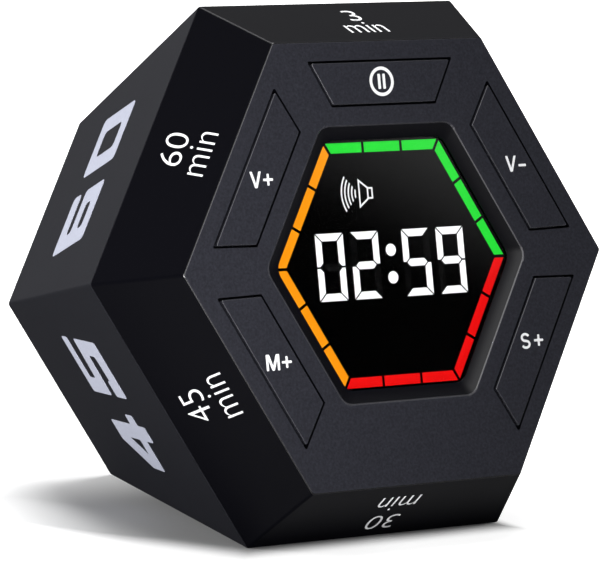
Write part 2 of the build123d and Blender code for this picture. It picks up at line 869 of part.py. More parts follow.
# Fasteners: head along the screw's own Z, under side of the head at its origin
def screw(length):
    head = Pos(0, 0, screw_head_height / 2) * Cylinder(screw_head_r, screw_head_height)
    head = fillet(head.edges().group_by(Axis.Z)[-1], screw_head_height / 3)
    shank = Pos(0, 0, -(length - screw_tip) / 2) * Cylinder(screw_shank_r, length - screw_tip)
    tip = Pos(0, 0, screw_tip / 2 - length) * Rot(X=180) * Cone(screw_shank_r, screw_shank_r / 3, screw_tip)
    body = head + shank + tip
    for size in ((screw_recess_length, screw_recess_width), (screw_recess_width, screw_recess_length)):
        body -= Pos(0, 0, screw_head_height) * Box(*size, 2 * screw_recess_depth)
    return body


def screws_along_y(length, places, y):
    planes = [Plane(origin=(x, y, z), x_dir=(1, 0, 0), z_dir=(0, 1, 0)) for x, z in places]
    return group([plane.location * screw(length) for plane in planes])


def charge_board_screws():
    return group([
        Pos(x, charge_post_y, charge_board_top) * screw(charge_screw_length)
        for x in (-charge_post_x, charge_post_x)
    ])


def build_parts():
    lights = display_lights()
    battery_plane = side_plane(side_connector_x)
    speaker_plane = side_plane(-side_connector_x)
    pieces = {
        "front_shell": front_shell(),
        "rear_shell": rear_shell(),
        "window_lens": window_lens(),
        "lens_tape": lens_tape(),
        "display_housing": display_housing(lights),
        "display_pins": display_pins(),
        "main_board": main_board(),
        "microcontroller": behind_board(controller_x) * chip(controller_size, True),
        "gravity_sensor": behind_board(sensor_x) * chip(sensor_size, False),
        "display_driver": before_board() * chip(driver_size, False),
        "battery_cell": battery_cell(),
        "battery_pad": battery_pad(),
        "battery_header": header(battery_plane, 2),
        "battery_plug": plug(battery_plane, 2),
        "battery_lead": battery_lead(),
        "speaker_basket": speaker_basket(),
        "speaker_cone": speaker_cone(),
        "speaker_magnet": speaker_magnet(),
        "speaker_gasket": speaker_gasket(),
        "speaker_header": header(speaker_plane, 2),
        "speaker_plug": plug(speaker_plane, 2),
        "speaker_lead": speaker_lead(),
        "charge_board": charge_board(),
        "charge_header": header(charge_plane(), 3),
        "charge_plug": plug(charge_plane(), 3),
        "charge_lead": charge_lead(),
        "usb_socket": usb_socket(),
        "usb_tongue": usb_tongue(),
        "power_switch": power_switch(),
        "power_slider": power_slider(),
        "board_screws": screws_along_y(
            board_screw_length, [polar(board_boss_place_r, angle) for angle in boss_angles], board_back_y
        ),
        "case_screws": screws_along_y(
            case_screw_length,
            [polar(case_boss_place_r, angle) for angle in boss_angles],
            boss_top_y + column_floor,
        ),
        "charge_board_screws": charge_board_screws(),
    }
    pieces.update(lights)
    for name, angle in key_angles.items():
        pieces[name + "_key"] = key_cap(angle)
        pieces[name + "_switch"] = tact_switch(angle)
        pieces[name + "_plunger"] = switch_plunger(angle)
    return pieces


def main():
    os.makedirs("parts", exist_ok=True)
    pieces = build_parts()
    lean = Rot(X=-math.degrees(rear_slope))
    laid = {name: lean * piece for name, piece in pieces.items()}
    box = (laid["front_shell"] + laid["rear_shell"]).bounding_box()
    to_origin = Pos(-(box.min.X + box.max.X) / 2, -(box.min.Y + box.max.Y) / 2, -box.min.Z)
    for name, piece in laid.items():
        export_step(to_origin * piece, f"parts/{name}.step")
    print("lean", round(math.degrees(rear_slope), 4), "shift", to_origin.position, "box", box.size)


main()
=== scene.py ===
import json
import math

import bpy
from mathutils import Matrix, Vector


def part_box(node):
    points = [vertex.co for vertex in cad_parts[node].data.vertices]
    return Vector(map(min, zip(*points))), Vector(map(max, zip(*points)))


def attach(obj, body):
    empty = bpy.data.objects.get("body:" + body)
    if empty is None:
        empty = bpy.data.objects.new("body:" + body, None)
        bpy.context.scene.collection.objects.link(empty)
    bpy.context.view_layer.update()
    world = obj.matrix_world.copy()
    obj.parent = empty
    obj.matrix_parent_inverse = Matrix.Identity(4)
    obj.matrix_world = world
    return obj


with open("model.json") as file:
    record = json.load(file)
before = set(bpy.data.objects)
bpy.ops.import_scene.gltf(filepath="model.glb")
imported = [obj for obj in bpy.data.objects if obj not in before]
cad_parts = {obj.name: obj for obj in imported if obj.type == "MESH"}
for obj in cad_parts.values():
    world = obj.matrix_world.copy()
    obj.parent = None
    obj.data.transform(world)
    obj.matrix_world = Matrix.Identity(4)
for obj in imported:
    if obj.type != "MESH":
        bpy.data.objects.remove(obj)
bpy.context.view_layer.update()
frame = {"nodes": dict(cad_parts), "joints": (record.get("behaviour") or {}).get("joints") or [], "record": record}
record = frame["record"]
mm = 0.001
print("frame loaded:", len(frame["nodes"]), "nodes")

# the timer's own directions: its axis leans back, because it stands on a rear facet
timerAxis = Vector(frame["joints"][0]["axis"]).normalized()
timerRight = Vector((1, 0, 0))
timerUp = timerRight.cross(timerAxis)

# the case in millimetres, measured from the middle of its seam
caseSizes = {
    "seamCorner": 40.0,
    "faceCorner": 32.9,
    "backCorner": 27.6,
    "frontDepth": 10.6,
    "rearDepth": 40.4,
    "lensMiddleDepth": -9.33,
    "keyRise": 0.14,
}
sideCos = math.cos(math.radians(30))
seamApothem = caseSizes["seamCorner"] * sideCos
frontSlope = math.atan((caseSizes["seamCorner"] - caseSizes["faceCorner"]) * sideCos / caseSizes["frontDepth"])
rearSlope = math.atan((caseSizes["seamCorner"] - caseSizes["backCorner"]) * sideCos / caseSizes["rearDepth"])
lensLow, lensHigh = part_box("window_lens")
seamMiddle = (lensLow + lensHigh) / 2 - timerAxis * caseSizes["lensMiddleDepth"] * mm


def matrixFrom(right, depth, up, origin):
    turned = Matrix((right, depth, up)).transposed().to_4x4()
    turned.translation = origin
    return turned


timerMatrix = matrixFrom(timerRight, timerAxis, timerUp, seamMiddle) @ Matrix.Scale(mm, 4)


# Shader groups, each built once and placed with its own values
def newGroup(name, inputs, outputs):
    group = bpy.data.node_groups.new(name, "ShaderNodeTree")
    for label, default in inputs:
        socket = group.interface.new_socket(label, in_out="INPUT", socket_type="NodeSocketFloat")
        socket.default_value = default
    for label in outputs:
        group.interface.new_socket(label, in_out="OUTPUT", socket_type="NodeSocketFloat")
    start = group.nodes.new("NodeGroupInput")
    end = group.nodes.new("NodeGroupOutput")
    return group, start, end


def addNode(tree, kind, **settings):
    node = tree.nodes.new(kind)
    for key, value in settings.items():
        setattr(node, key, value)
    return node


def addMath(tree, operation, first, second=None, clamp=False):
    node = addNode(tree, "ShaderNodeMath", operation=operation, use_clamp=clamp)
    for socket, value in zip(node.inputs, (first, second)):
        if isinstance(value, (int, float)):
            socket.default_value = value
        elif value is not None:
            tree.links.new(value, socket)
    return node.outputs[0]


# Mould texture, and the marks of rolled metal
grainValues = {
    "scale": 3200.0,
    "cloudScale": 40.0,
    "detail": 3.0,
    "roughness": 0.62,
    "cloudDetail": 2.0,
    "fleckLow": 0.34,
    "fleckHigh": 0.7,
}
streakValues = {
    "scale": 900.0,
    "stretch": 0.03,
    "detail": 4.0,
    "depth": 0.000004,
}


def makeGrainGroup():
    # spark-eroded mould texture: fine bumps, with a slower change of tone from the moulding
    inputs = [("Scale", grainValues["scale"]), ("Cloud Scale", grainValues["cloudScale"])]
    group, start, end = newGroup("mouldGrain", inputs, ["Height", "Fleck", "Cloud"])
    where = addNode(group, "ShaderNodeTexCoord").outputs["Object"]
    noise = addNode(group, "ShaderNodeTexNoise")
    noise.inputs["Detail"].default_value = grainValues["detail"]
    noise.inputs["Roughness"].default_value = grainValues["roughness"]
    cloud = addNode(group, "ShaderNodeTexNoise")
    cloud.inputs["Detail"].default_value = grainValues["cloudDetail"]
    for node, label in ((noise, "Scale"), (cloud, "Cloud Scale")):
        group.links.new(where, node.inputs["Vector"])
        group.links.new(start.outputs[label], node.inputs["Scale"])
    fleck = addNode(group, "ShaderNodeMapRange")
    fleck.inputs["From Min"].default_value = grainValues["fleckLow"]
    fleck.inputs["From Max"].default_value = grainValues["fleckHigh"]
    group.links.new(noise.outputs["Fac"], fleck.inputs["Value"])
    group.links.new(noise.outputs["Fac"], end.inputs["Height"])
    group.links.new(fleck.outputs["Result"], end.inputs["Fleck"])
    group.links.new(cloud.outputs["Fac"], end.inputs["Cloud"])
    return group


def makeStreakGroup():
    # fine parallel marks of rolled or turned metal, along X
    inputs = [("Scale", streakValues["scale"]), ("Stretch", streakValues["stretch"])]
    group, start, end = newGroup("rolledStreaks", inputs, ["Height", "Streak"])
    where = addNode(group, "ShaderNodeTexCoord").outputs["Object"]
    parts = addNode(group, "ShaderNodeSeparateXYZ")
    joined = addNode(group, "ShaderNodeCombineXYZ")
    group.links.new(where, parts.inputs[0])
    group.links.new(addMath(group, "MULTIPLY", parts.outputs["X"], start.outputs["Stretch"]), joined.inputs["X"])
    group.links.new(parts.outputs["Y"], joined.inputs["Y"])
    group.links.new(parts.outputs["Z"], joined.inputs["Z"])
    noise = addNode(group, "ShaderNodeTexNoise")
    noise.inputs["Detail"].default_value = streakValues["detail"]
    group.links.new(joined.outputs[0], noise.inputs["Vector"])
    group.links.new(start.outputs["Scale"], noise.inputs["Scale"])
    group.links.new(noise.outputs["Fac"], end.inputs["Height"])
    group.links.new(noise.outputs["Fac"], end.inputs["Streak"])
    return group


grainGroup = makeGrainGroup()
streakGroup = makeStreakGroup()
print("shader groups built")


def newMaterial(name):
    material = bpy.data.materials.new(name)
    material.use_nodes = True
    return material, material.node_tree, material.node_tree.nodes["Principled BSDF"]


def placeGroup(tree, group, **values):
    node = addNode(tree, "ShaderNodeGroup", node_tree=group)
    for label, value in values.items():
        node.inputs[label.replace("_", " ")].default_value = value
    return node


def mixColors(tree, factor, low, high):
    mix = addNode(tree, "ShaderNodeMix", data_type="RGBA")
    tree.links.new(factor, mix.inputs["Factor"])
    mix.inputs["A"].default_value = (*low, 1)
    mix.inputs["B"].default_value = (*high, 1)
    return mix.outputs["Result"]


def linkRange(tree, value, target, low, high):
    spread = addNode(tree, "ShaderNodeMapRange")
    spread.inputs["To Min"].default_value = low
    spread.inputs["To Max"].default_value = high
    tree.links.new(value, spread.inputs["Value"])
    tree.links.new(spread.outputs["Result"], target)


def linkBump(tree, shader, height, depth):
    bump = addNode(tree, "ShaderNodeBump")
    bump.inputs["Distance"].default_value = depth
    tree.links.new(height, bump.inputs["Height"])
    tree.links.new(bump.outputs["Normal"], shader.inputs["Normal"])


# What each kind of finish has in common, whatever piece it is on
plasticFinish = {"roughnessSpread": 0.04, "grainDepth": 0.00001}
metalFinish = {"darkShare": 0.82, "smoother": 0.08, "rougher": 0.1}
litFinish = {
    "unevenness": 0.06,
    "grainScale": 2600.0,
    "cloudScale": 700.0,
    "bodyShare": 0.3,
    "roughness": 0.6,
    "specular": 0.1,
}
acrylicFinish = {"grainScale": 500.0, "cloudScale": 60.0, "roughnessSpread": 0.02, "ior": 1.49}
inkFinish = {
    "grainScale": 2600.0,
    "thinShare": 0.93,
    "smoothest": 0.5,
    "roughest": 0.62,
    "grainDepth": 0.000004,
    "specular": 0.3,
}


def mouldedPlastic(
    name, color, spread, roughness, scale, depth=plasticFinish["grainDepth"], specular=0.5, coat=0.0,
):
    material, tree, shader = newMaterial(name)
    grain = placeGroup(tree, grainGroup, Scale=scale)
    dark = [c * (1 - spread) for c in color]
    pale = [min(c * (1 + spread), 1) for c in color]
    tree.links.new(mixColors(tree, grain.outputs["Fleck"], dark, pale), shader.inputs["Base Color"])
    change = plasticFinish["roughnessSpread"]
    linkRange(tree, grain.outputs["Cloud"], shader.inputs["Roughness"], roughness - change, roughness + change)
    linkBump(tree, shader, grain.outputs["Height"], depth)
    shader.inputs["Specular IOR Level"].default_value = specular
    shader.inputs["Coat Weight"].default_value = coat
    return material


def rolledMetal(name, color, roughness, scale=streakValues["scale"]):
    material, tree, shader = newMaterial(name)
    streaks = placeGroup(tree, streakGroup, Scale=scale)
    dark = [c * metalFinish["darkShare"] for c in color]
    tree.links.new(mixColors(tree, streaks.outputs["Streak"], dark, color), shader.inputs["Base Color"])
    low, high = roughness - metalFinish["smoother"], roughness + metalFinish["rougher"]
    linkRange(tree, streaks.outputs["Streak"], shader.inputs["Roughness"], low, high)
    linkBump(tree, shader, streaks.outputs["Height"], streakValues["depth"])
    shader.inputs["Metallic"].default_value = 1.0
    return material


def litDiffuser(name, glow, strength):
    # a lit window glows a little unevenly, as light guides do
    material, tree, shader = newMaterial(name)
    grain = placeGroup(tree, grainGroup, Scale=litFinish["grainScale"], Cloud_Scale=litFinish["cloudScale"])
    low = [c * (1 - litFinish["unevenness"]) for c in glow]
    tree.links.new(mixColors(tree, grain.outputs["Cloud"], low, glow), shader.inputs["Emission Color"])
    shader.inputs["Emission Strength"].default_value = strength
    shader.inputs["Base Color"].default_value = (*[c * litFinish["bodyShare"] for c in glow], 1)
    shader.inputs["Roughness"].default_value = litFinish["roughness"]
    shader.inputs["Specular IOR Level"].default_value = litFinish["specular"]
    return material


def smokedAcrylic(name, tint, roughness):
    material, tree, shader = newMaterial(name)
    scale, cloudScale = acrylicFinish["grainScale"], acrylicFinish["cloudScale"]
    grain = placeGroup(tree, grainGroup, Scale=scale, Cloud_Scale=cloudScale)
    high = roughness + acrylicFinish["roughnessSpread"]
    linkRange(tree, grain.outputs["Cloud"], shader.inputs["Roughness"], roughness, high)
    shader.inputs["Base Color"].default_value = (*tint, 1)
    shader.inputs["Transmission Weight"].default_value = 1.0
    shader.inputs["IOR"].default_value = acrylicFinish["ior"]
    return material


def printedInk(name, color):
    material, tree, shader = newMaterial(name)
    grain = placeGroup(tree, grainGroup, Scale=inkFinish["grainScale"])
    thin = [c * inkFinish["thinShare"] for c in color]
    tree.links.new(mixColors(tree, grain.outputs["Fleck"], thin, color), shader.inputs["Base Color"])
    low, high = inkFinish["smoothest"], inkFinish["roughest"]
    linkRange(tree, grain.outputs["Cloud"], shader.inputs["Roughness"], low, high)
    linkBump(tree, shader, grain.outputs["Height"], inkFinish["grainDepth"])
    shader.inputs["Specular IOR Level"].default_value = inkFinish["specular"]
    return material


caseFinish = {
    "face": (0.0215, 0.022, 0.0285),
    "rear": (0.0195, 0.0198, 0.0245),
    # the chamfer colour, also used on the window's bevels, is painted shade: far darker than the face so that they
    # look shaded
    "chamferPaintedShade": (0.0024, 0.0024, 0.0038),
    "roughness": 0.46,
    "chamferRoughness": 0.34,
    "specular": 0.06,
    "rearSpecular": 0.2,
    "chamferCoat": 0.2,
    "keyCoat": 1.0,
    "edgeRoughness": 0.24,
    "coatRoughness": 0.26,
    "coatIor": 1.7,
    "grainScale": 3000.0,
    "grainDepth": 0.000014,
    "grainSpread": 0.24,
    "rearGrainSpread": 0.16,
    "bevelGrain": 0.15,
}
glowColors = {
    "white": (1.0, 1.0, 1.0),
    "green": (0.012, 0.75, 0.035),
    "orange": (1.0, 0.32, 0.002),
    "red": (0.87, 0.002, 0.002),
}
glowStrength = {"white": 1.25, "symbol": 1.0, "green": 0.98, "orange": 1.02, "red": 0.92}
# Where the front's finishes and its painted shade change. The first four are the share by which a surface is
# turned to the front, which is about 0.5 on the chamfers, 0.94 on the window's bevels and 1 on the face. The
# others are metres
facingLimits = {
    "flat": (0.94, 0.985),
    "edgeBands": (((0.565, 0.62), (0.915, 0.9)), ((0.944, 0.958), (0.998, 0.985))),
    "chamfers": (0.525, 0.508),
    "nearFace": (0.57, 0.6),
    "aroundWindow": (0.0262, 0.0275),
    "upTheBevels": (0.0008, 0.0001),
}


def smoothRange(tree, value, low, high, top=1.0):
    # goes smoothly from 0 at low to top at high
    node = addNode(tree, "ShaderNodeMapRange", interpolation_type="SMOOTHSTEP")
    node.inputs["From Min"].default_value = low
    node.inputs["From Max"].default_value = high
    node.inputs["To Max"].default_value = top
    tree.links.new(value, node.inputs["Value"])
    return node.outputs["Result"]


def makeFacingGroup():
    # Flat is 1 on the face and on the key tops and 0 on the bevels round them. Edge is 1 in the middle of each
    # rounded edge between them. Sheen fades down the window's bevels, and is 0 on the edges between chamfers
    group, start, end = newGroup("facingMasks", [], ["Flat", "Edge", "Sheen"])
    coordinates = addNode(group, "ShaderNodeTexCoord")
    facing = addNode(group, "ShaderNodeVectorMath", operation="DOT_PRODUCT")
    group.links.new(coordinates.outputs["Normal"], facing.inputs[0])
    facing.inputs[1].default_value = -timerAxis
    windowCentre = timerMatrix @ Vector((0, -caseSizes["frontDepth"], 0))
    around = addNode(group, "ShaderNodeVectorMath", operation="DISTANCE")
    group.links.new(coordinates.outputs["Object"], around.inputs[0])
    around.inputs[1].default_value = windowCentre
    depth = addNode(group, "ShaderNodeVectorMath", operation="DOT_PRODUCT")
    group.links.new(coordinates.outputs["Object"], depth.inputs[0])
    depth.inputs[1].default_value = timerAxis
    rim = windowCentre.dot(timerAxis)
    foot, top = (rim + reach for reach in facingLimits["upTheBevels"])
    outside = smoothRange(group, around.outputs["Value"], *facingLimits["aroundWindow"])
    rise = smoothRange(group, depth.outputs["Value"], foot, top)
    chamfers = smoothRange(group, facing.outputs["Value"], *facingLimits["chamfers"])
    nearFace = smoothRange(group, facing.outputs["Value"], *facingLimits["nearFace"])
    shiny = addMath(group, "ADD", chamfers, nearFace)
    sheen = addMath(group, "MULTIPLY", addMath(group, "MAXIMUM", outside, rise), shiny)
    group.links.new(sheen, end.inputs["Sheen"])
    group.links.new(smoothRange(group, facing.outputs["Value"], *facingLimits["flat"]), end.inputs["Flat"])
    bands = []
    for low, high in facingLimits["edgeBands"]:
        rising = smoothRange(group, facing.outputs["Value"], *low)
        falling = smoothRange(group, facing.outputs["Value"], *high)
        bands.append(addMath(group, "MULTIPLY", rising, falling))
    group.links.new(addMath(group, "MAXIMUM", *bands), end.inputs["Edge"])
    return group


facingGroup = makeFacingGroup()


def frontMaterial(name, bevelColor, bevelRoughness, bevelCoat):
    # the front is grained and the bevels round it are smooth, with a much darker colour that is painted shade, and
    # the edges between them are worn a little shiny
    material, tree, shader = newMaterial(name)
    grain = placeGroup(tree, grainGroup, Scale=caseFinish["grainScale"])
    facing = placeGroup(tree, facingGroup)
    flat, edge = facing.outputs["Flat"], facing.outputs["Edge"]
    dark = [c * (1 - caseFinish["grainSpread"]) for c in caseFinish["face"]]
    pale = [c * (1 + caseFinish["grainSpread"]) for c in caseFinish["face"]]
    # the bevels take bevelColor: on the front shell the much darker chamfer colour, a painted shade; on the keys
    # the face colour
    blend = addNode(tree, "ShaderNodeMix", data_type="RGBA")
    tree.links.new(flat, blend.inputs["Factor"])
    blend.inputs["A"].default_value = (*bevelColor, 1)
    tree.links.new(mixColors(tree, grain.outputs["Fleck"], dark, pale), blend.inputs["B"])
    tree.links.new(blend.outputs["Result"], shader.inputs["Base Color"])
    mix = addNode(tree, "ShaderNodeMix", data_type="FLOAT")
    tree.links.new(edge, mix.inputs["Factor"])
    linkRange(tree, flat, mix.inputs["A"], bevelRoughness, caseFinish["roughness"])
    mix.inputs["B"].default_value = caseFinish["edgeRoughness"]
    tree.links.new(mix.outputs["Result"], shader.inputs["Roughness"])
    polish = addMath(tree, "MULTIPLY", addMath(tree, "SUBTRACT", 1.0, flat), bevelCoat)
    polish = addMath(tree, "MULTIPLY", polish, facing.outputs["Sheen"])
    tree.links.new(addMath(tree, "MAXIMUM", polish, edge), shader.inputs["Coat Weight"])
    shader.inputs["Coat Roughness"].default_value = caseFinish["coatRoughness"]
    shader.inputs["Coat IOR"].default_value = caseFinish["coatIor"]
    shader.inputs["Specular IOR Level"].default_value = caseFinish["specular"]
    grained = addMath(tree, "MAXIMUM", flat, caseFinish["bevelGrain"])
    height = addMath(tree, "MULTIPLY", grain.outputs["Height"], grained)
    linkBump(tree, shader, height, caseFinish["grainDepth"])
    return material


materials = {
    "front_shell": frontMaterial(
        "charcoalFrontShell", caseFinish["chamferPaintedShade"], caseFinish["chamferRoughness"], caseFinish["chamferCoat"],
    ),
    "rear_shell": mouldedPlastic(
        "satinCharcoalRear", caseFinish["rear"], spread=caseFinish["rearGrainSpread"],
        roughness=caseFinish["roughness"], scale=caseFinish["grainScale"], depth=caseFinish["grainDepth"],
        specular=caseFinish["rearSpecular"],
    ),
    "key_cap": frontMaterial(
        "satinCharcoalKey", caseFinish["face"], caseFinish["edgeRoughness"], caseFinish["keyCoat"],
    ),
    "window_lens": smokedAcrylic("smokedAcrylic", tint=(0.86, 0.86, 0.87), roughness=0.03),
    "tape": mouldedPlastic("blackTape", (0.008, 0.008, 0.009), spread=0.1, roughness=0.7, scale=1500.0),
    "display_housing": mouldedPlastic(
        "displayBlack", (0.0002, 0.0002, 0.0002), spread=0.1, roughness=0.8, scale=2500.0, depth=0.000008,
        specular=0.0,
    ),
    "digit_light": litDiffuser("digitLight", glowColors["white"], glowStrength["white"]),
    "symbol_light": litDiffuser("symbolLight", glowColors["white"], glowStrength["symbol"]),
    "idle_light": mouldedPlastic(
        "idleLight", (0.0005, 0.0005, 0.0006), spread=0.1, roughness=0.7, scale=2500.0, depth=0.000006,
        specular=0.1,
    ),
    "green_light": litDiffuser("greenLight", glowColors["green"], glowStrength["green"]),
    "orange_light": litDiffuser("orangeLight", glowColors["orange"], glowStrength["orange"]),
    "red_light": litDiffuser("redLight", glowColors["red"], glowStrength["red"]),
    "tinned_pin": rolledMetal("tinnedPin", (0.72, 0.72, 0.7), roughness=0.3),
    "circuit_board": mouldedPlastic(
        "solderMask", (0.015, 0.13, 0.05), spread=0.25, roughness=0.3, scale=900.0, depth=0.00003, coat=0.4,
    ),
    "chip": mouldedPlastic("chipEpoxy", (0.02, 0.02, 0.021), spread=0.2, roughness=0.55, scale=4000.0),
    "cell_pouch": rolledMetal("cellFoil", (0.7, 0.71, 0.73), roughness=0.35, scale=400.0),
    "foam": mouldedPlastic(
        "closedCellFoam", (0.035, 0.035, 0.037), spread=0.4, roughness=0.9, scale=1800.0, depth=0.00012,
        specular=0.2,
    ),
    "connector": mouldedPlastic("nylonConnector", (0.74, 0.7, 0.6), spread=0.05, roughness=0.45, scale=1500.0),
    "red_wire": mouldedPlastic("redInsulation", (0.5, 0.02, 0.015), spread=0.1, roughness=0.4, scale=1200.0),
    "black_wire": mouldedPlastic(
        "blackInsulation", (0.015, 0.015, 0.015), spread=0.1, roughness=0.4, scale=1200.0,
    ),
    "speaker_frame": rolledMetal("speakerSteel", (0.5, 0.5, 0.5), roughness=0.38),
    "cone_film": mouldedPlastic(
        "coneFilm", (0.1, 0.1, 0.105), spread=0.1, roughness=0.3, scale=900.0, coat=0.3,
    ),
    "magnet": rolledMetal("platedMagnet", (0.42, 0.42, 0.43), roughness=0.25),
    "socket_steel": rolledMetal("nickelSocket", (0.66, 0.65, 0.63), roughness=0.28),
    "tongue": mouldedPlastic("socketTongue", (0.012, 0.012, 0.012), spread=0.1, roughness=0.5, scale=2500.0),
    "switch_body": mouldedPlastic("switchBody", (0.016, 0.016, 0.017), spread=0.15, roughness=0.5, scale=2500.0),
    "plunger": mouldedPlastic("switchPlunger", (0.03, 0.03, 0.031), spread=0.15, roughness=0.45, scale=2500.0),
    "slider": mouldedPlastic(
        "sliderLever", (0.024, 0.024, 0.026), spread=0.15, roughness=0.42, scale=2600.0, depth=0.000015,
    ),
    "screw_steel": rolledMetal("zincScrew", (0.6, 0.6, 0.58), roughness=0.32),
    "case_screw_steel": rolledMetal("blackScrew", (0.12, 0.12, 0.125), roughness=0.35),
}
inkColors = {"number": (0.48, 0.5, 0.6), "label": (0.93, 0.93, 0.95)}
numberInk = printedInk("paleNumberInk", inkColors["number"])
labelInk = printedInk("whiteLabelInk", inkColors["label"])

for part in record["subparts"]:
    node = frame["nodes"][part["node"]]
    for socket in node.material_slots:
        socket.material = materials[part["material_slot"]]
print("materials placed on the CAD nodes")


# Prints: thin ink films that lie on a facet. A panel's X is the reading direction, its Y is the top of the
# writing and its Z points out of the case, in millimetres
printSizes = {
    "filmThickness": 0.03,
    "filmLift": 0.004,
    "cornerSteps": 5,
    "cornerShare": 0.45,
    "textSteps": 8,
}


def radial(angle):
    return Vector((math.cos(math.radians(angle)), 0, math.sin(math.radians(angle))))


def facetPanel(angle, slope, side):
    # side is 1 behind the seam and -1 in front of it; the panel starts at the middle of the seam edge
    out = radial(angle)
    reading = Vector((out.z, 0, -out.x))
    top = Vector((0, math.cos(slope), 0)) - side * math.sin(slope) * out
    normal = math.cos(slope) * out + Vector((0, side * math.sin(slope), 0))
    return timerMatrix @ matrixFrom(reading, top, normal, out * seamApothem)


def keyPanel():
    origin = Vector((0, -caseSizes["frontDepth"] - caseSizes["keyRise"], 0))
    return timerMatrix @ matrixFrom(Vector((1, 0, 0)), Vector((0, 0, 1)), Vector((0, -1, 0)), origin)


def roundCorners(points, radius):
    rounded = []
    steps = printSizes["cornerSteps"]
    for i, corner in enumerate(points):
        before = Vector(points[i - 1]) - Vector(corner)
        after = Vector(points[(i + 1) % len(points)]) - Vector(corner)
        reach = min(radius, before.length * printSizes["cornerShare"], after.length * printSizes["cornerShare"])
        start = Vector(corner) + before.normalized() * reach
        end = Vector(corner) + after.normalized() * reach
        for step in range(steps + 1):
            t = step / steps
            rounded.append(start * (1 - t) ** 2 + Vector(corner) * 2 * t * (1 - t) + end * t**2)
    return rounded


def filmFromOutlines(name, outlines):
    curve = bpy.data.curves.new(name, "CURVE")
    curve.dimensions = "2D"
    curve.fill_mode = "BOTH"
    for outline in outlines:
        spline = curve.splines.new("POLY")
        spline.points.add(len(outline) - 1)
        spline.points.foreach_set("co", [c for x, y in outline for c in (x, y, 0, 1)])
        spline.use_cyclic_u = True
    return curve


def placeFilm(name, curve, panel, body, ink, centre=None, size=None):
    # turns the flat curve to a mesh film, brings it to the wanted size and place, and sets it on its panel
    curve.extrude = printSizes["filmThickness"] / 2
    helper = bpy.data.objects.new(name + "Helper", curve)
    bpy.context.scene.collection.objects.link(helper)
    bpy.context.view_layer.update()
    mesh = bpy.data.meshes.new_from_object(helper.evaluated_get(bpy.context.evaluated_depsgraph_get()))
    bpy.data.objects.remove(helper)
    if size:
        xs = [v.co.x for v in mesh.vertices]
        ys = [v.co.y for v in mesh.vertices]
        stretch = (size[0] / (max(xs) - min(xs)), size[1] / (max(ys) - min(ys)))
        middle = ((max(xs) + min(xs)) / 2, (max(ys) + min(ys)) / 2)
        for v in mesh.vertices:
            v.co.x = centre[0] + (v.co.x - middle[0]) * stretch[0]
            v.co.y = centre[1] + (v.co.y - middle[1]) * stretch[1]
    lift = printSizes["filmThickness"] / 2 + printSizes["filmLift"]
    mesh.transform(panel @ Matrix.Translation((0, 0, lift)))
    mesh.materials.clear()
    mesh.materials.append(ink)
    mesh.name = name
    film = bpy.data.objects.new(name, mesh)
    bpy.context.scene.collection.objects.link(film)
    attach(film, body)


def placeText(name, text, panel, body, ink, centre, size, boldness=0.0):
    curve = bpy.data.curves.new(name, "FONT")
    curve.body = text
    curve.offset = boldness
    curve.resolution_u = printSizes["textSteps"]
    placeFilm(name, curve, panel, body, ink, centre, size)


# Big block numbers on the rear facets, in a cell as wide and high as one digit
blockDigit = {
    "width": 8.7,
    "height": 12.6,
    "bar": 2.45,
    "gap": 2.95,
}
blockCorner = {"0": 0.9, "6": 0.9, "5": 0.5, "4": 0.35, "3": 0.9, "1": 0.4}
blockBaseline = {"60": 14.1, "45": 13.15, "30": 13.6, "10": 13.6, "5": 13.6, "3": 13.6}


def blockOutlines(digit):
    w, h, bar = blockDigit["width"], blockDigit["height"], blockDigit["bar"]
    inner = w - bar
    box = [(0, 0), (w, 0), (w, h), (0, h)]
    shapes = {
        "0": [box, [(bar, 2.9), (inner, 2.9), (inner, 9.9), (bar, 9.9)]],
        "6": [
            [(0, 0), (w, 0), (w, 7.6), (bar, 7.6), (bar, 9.5), (w, 9.5), (w, h), (0, h)],
            [(bar, 3.0), (inner, 3.0), (inner, 5.1), (bar, 5.1)],
        ],
        "5": [[(0, 0), (w, 0), (w, 7.9), (bar, 8.4), (bar, 10.5), (w, 10.5), (w, h), (0, h), (0, 5.7),
               (inner, 5.4), (inner, 3.2), (bar, 3.0), (bar, 3.8), (0, 3.8)]],
        "4": [
            [(4.8, 0), (7.25, 0), (7.25, 2.5), (8.8, 2.5), (8.8, 5.1), (7.25, 5.2), (7.25, h), (4.2, h),
             (0.2, 6.4), (0, 2.5), (4.8, 2.5)],
            [(4.8, 5.0), (4.8, 8.7), (2.4, 5.0)],
        ],
        "3": [[(0, 0), (w, 0), (w, h), (0, h), (0, 9.2), (bar, 9.2), (bar, 10.1), (inner, 10.1), (inner, 7.6),
               (bar, 7.6), (bar, 5.1), (inner, 5.1), (inner, 2.7), (bar, 2.7), (bar, 3.6), (0, 3.6)]],
        "1": [[(3.3, 0), (3.3 + bar, 0), (3.3 + bar, h), (3.3, h), (1.0, 10.6), (1.0, 8.2), (3.3, 9.6)]],
    }
    return shapes[digit]


def placeBlockNumber(name, number, angle):
    step = blockDigit["width"] + blockDigit["gap"]
    start = -(step * len(number) - blockDigit["gap"]) / 2
    outlines = []
    for i, digit in enumerate(number):
        for outline in blockOutlines(digit):
            moved = [(x + start + i * step, y + blockBaseline[number]) for x, y in outline]
            outlines.append(roundCorners(moved, blockCorner[digit]))
    curve = filmFromOutlines(name, outlines)
    placeFilm(name, curve, facetPanel(angle, rearSlope, 1), "housing", numberInk)


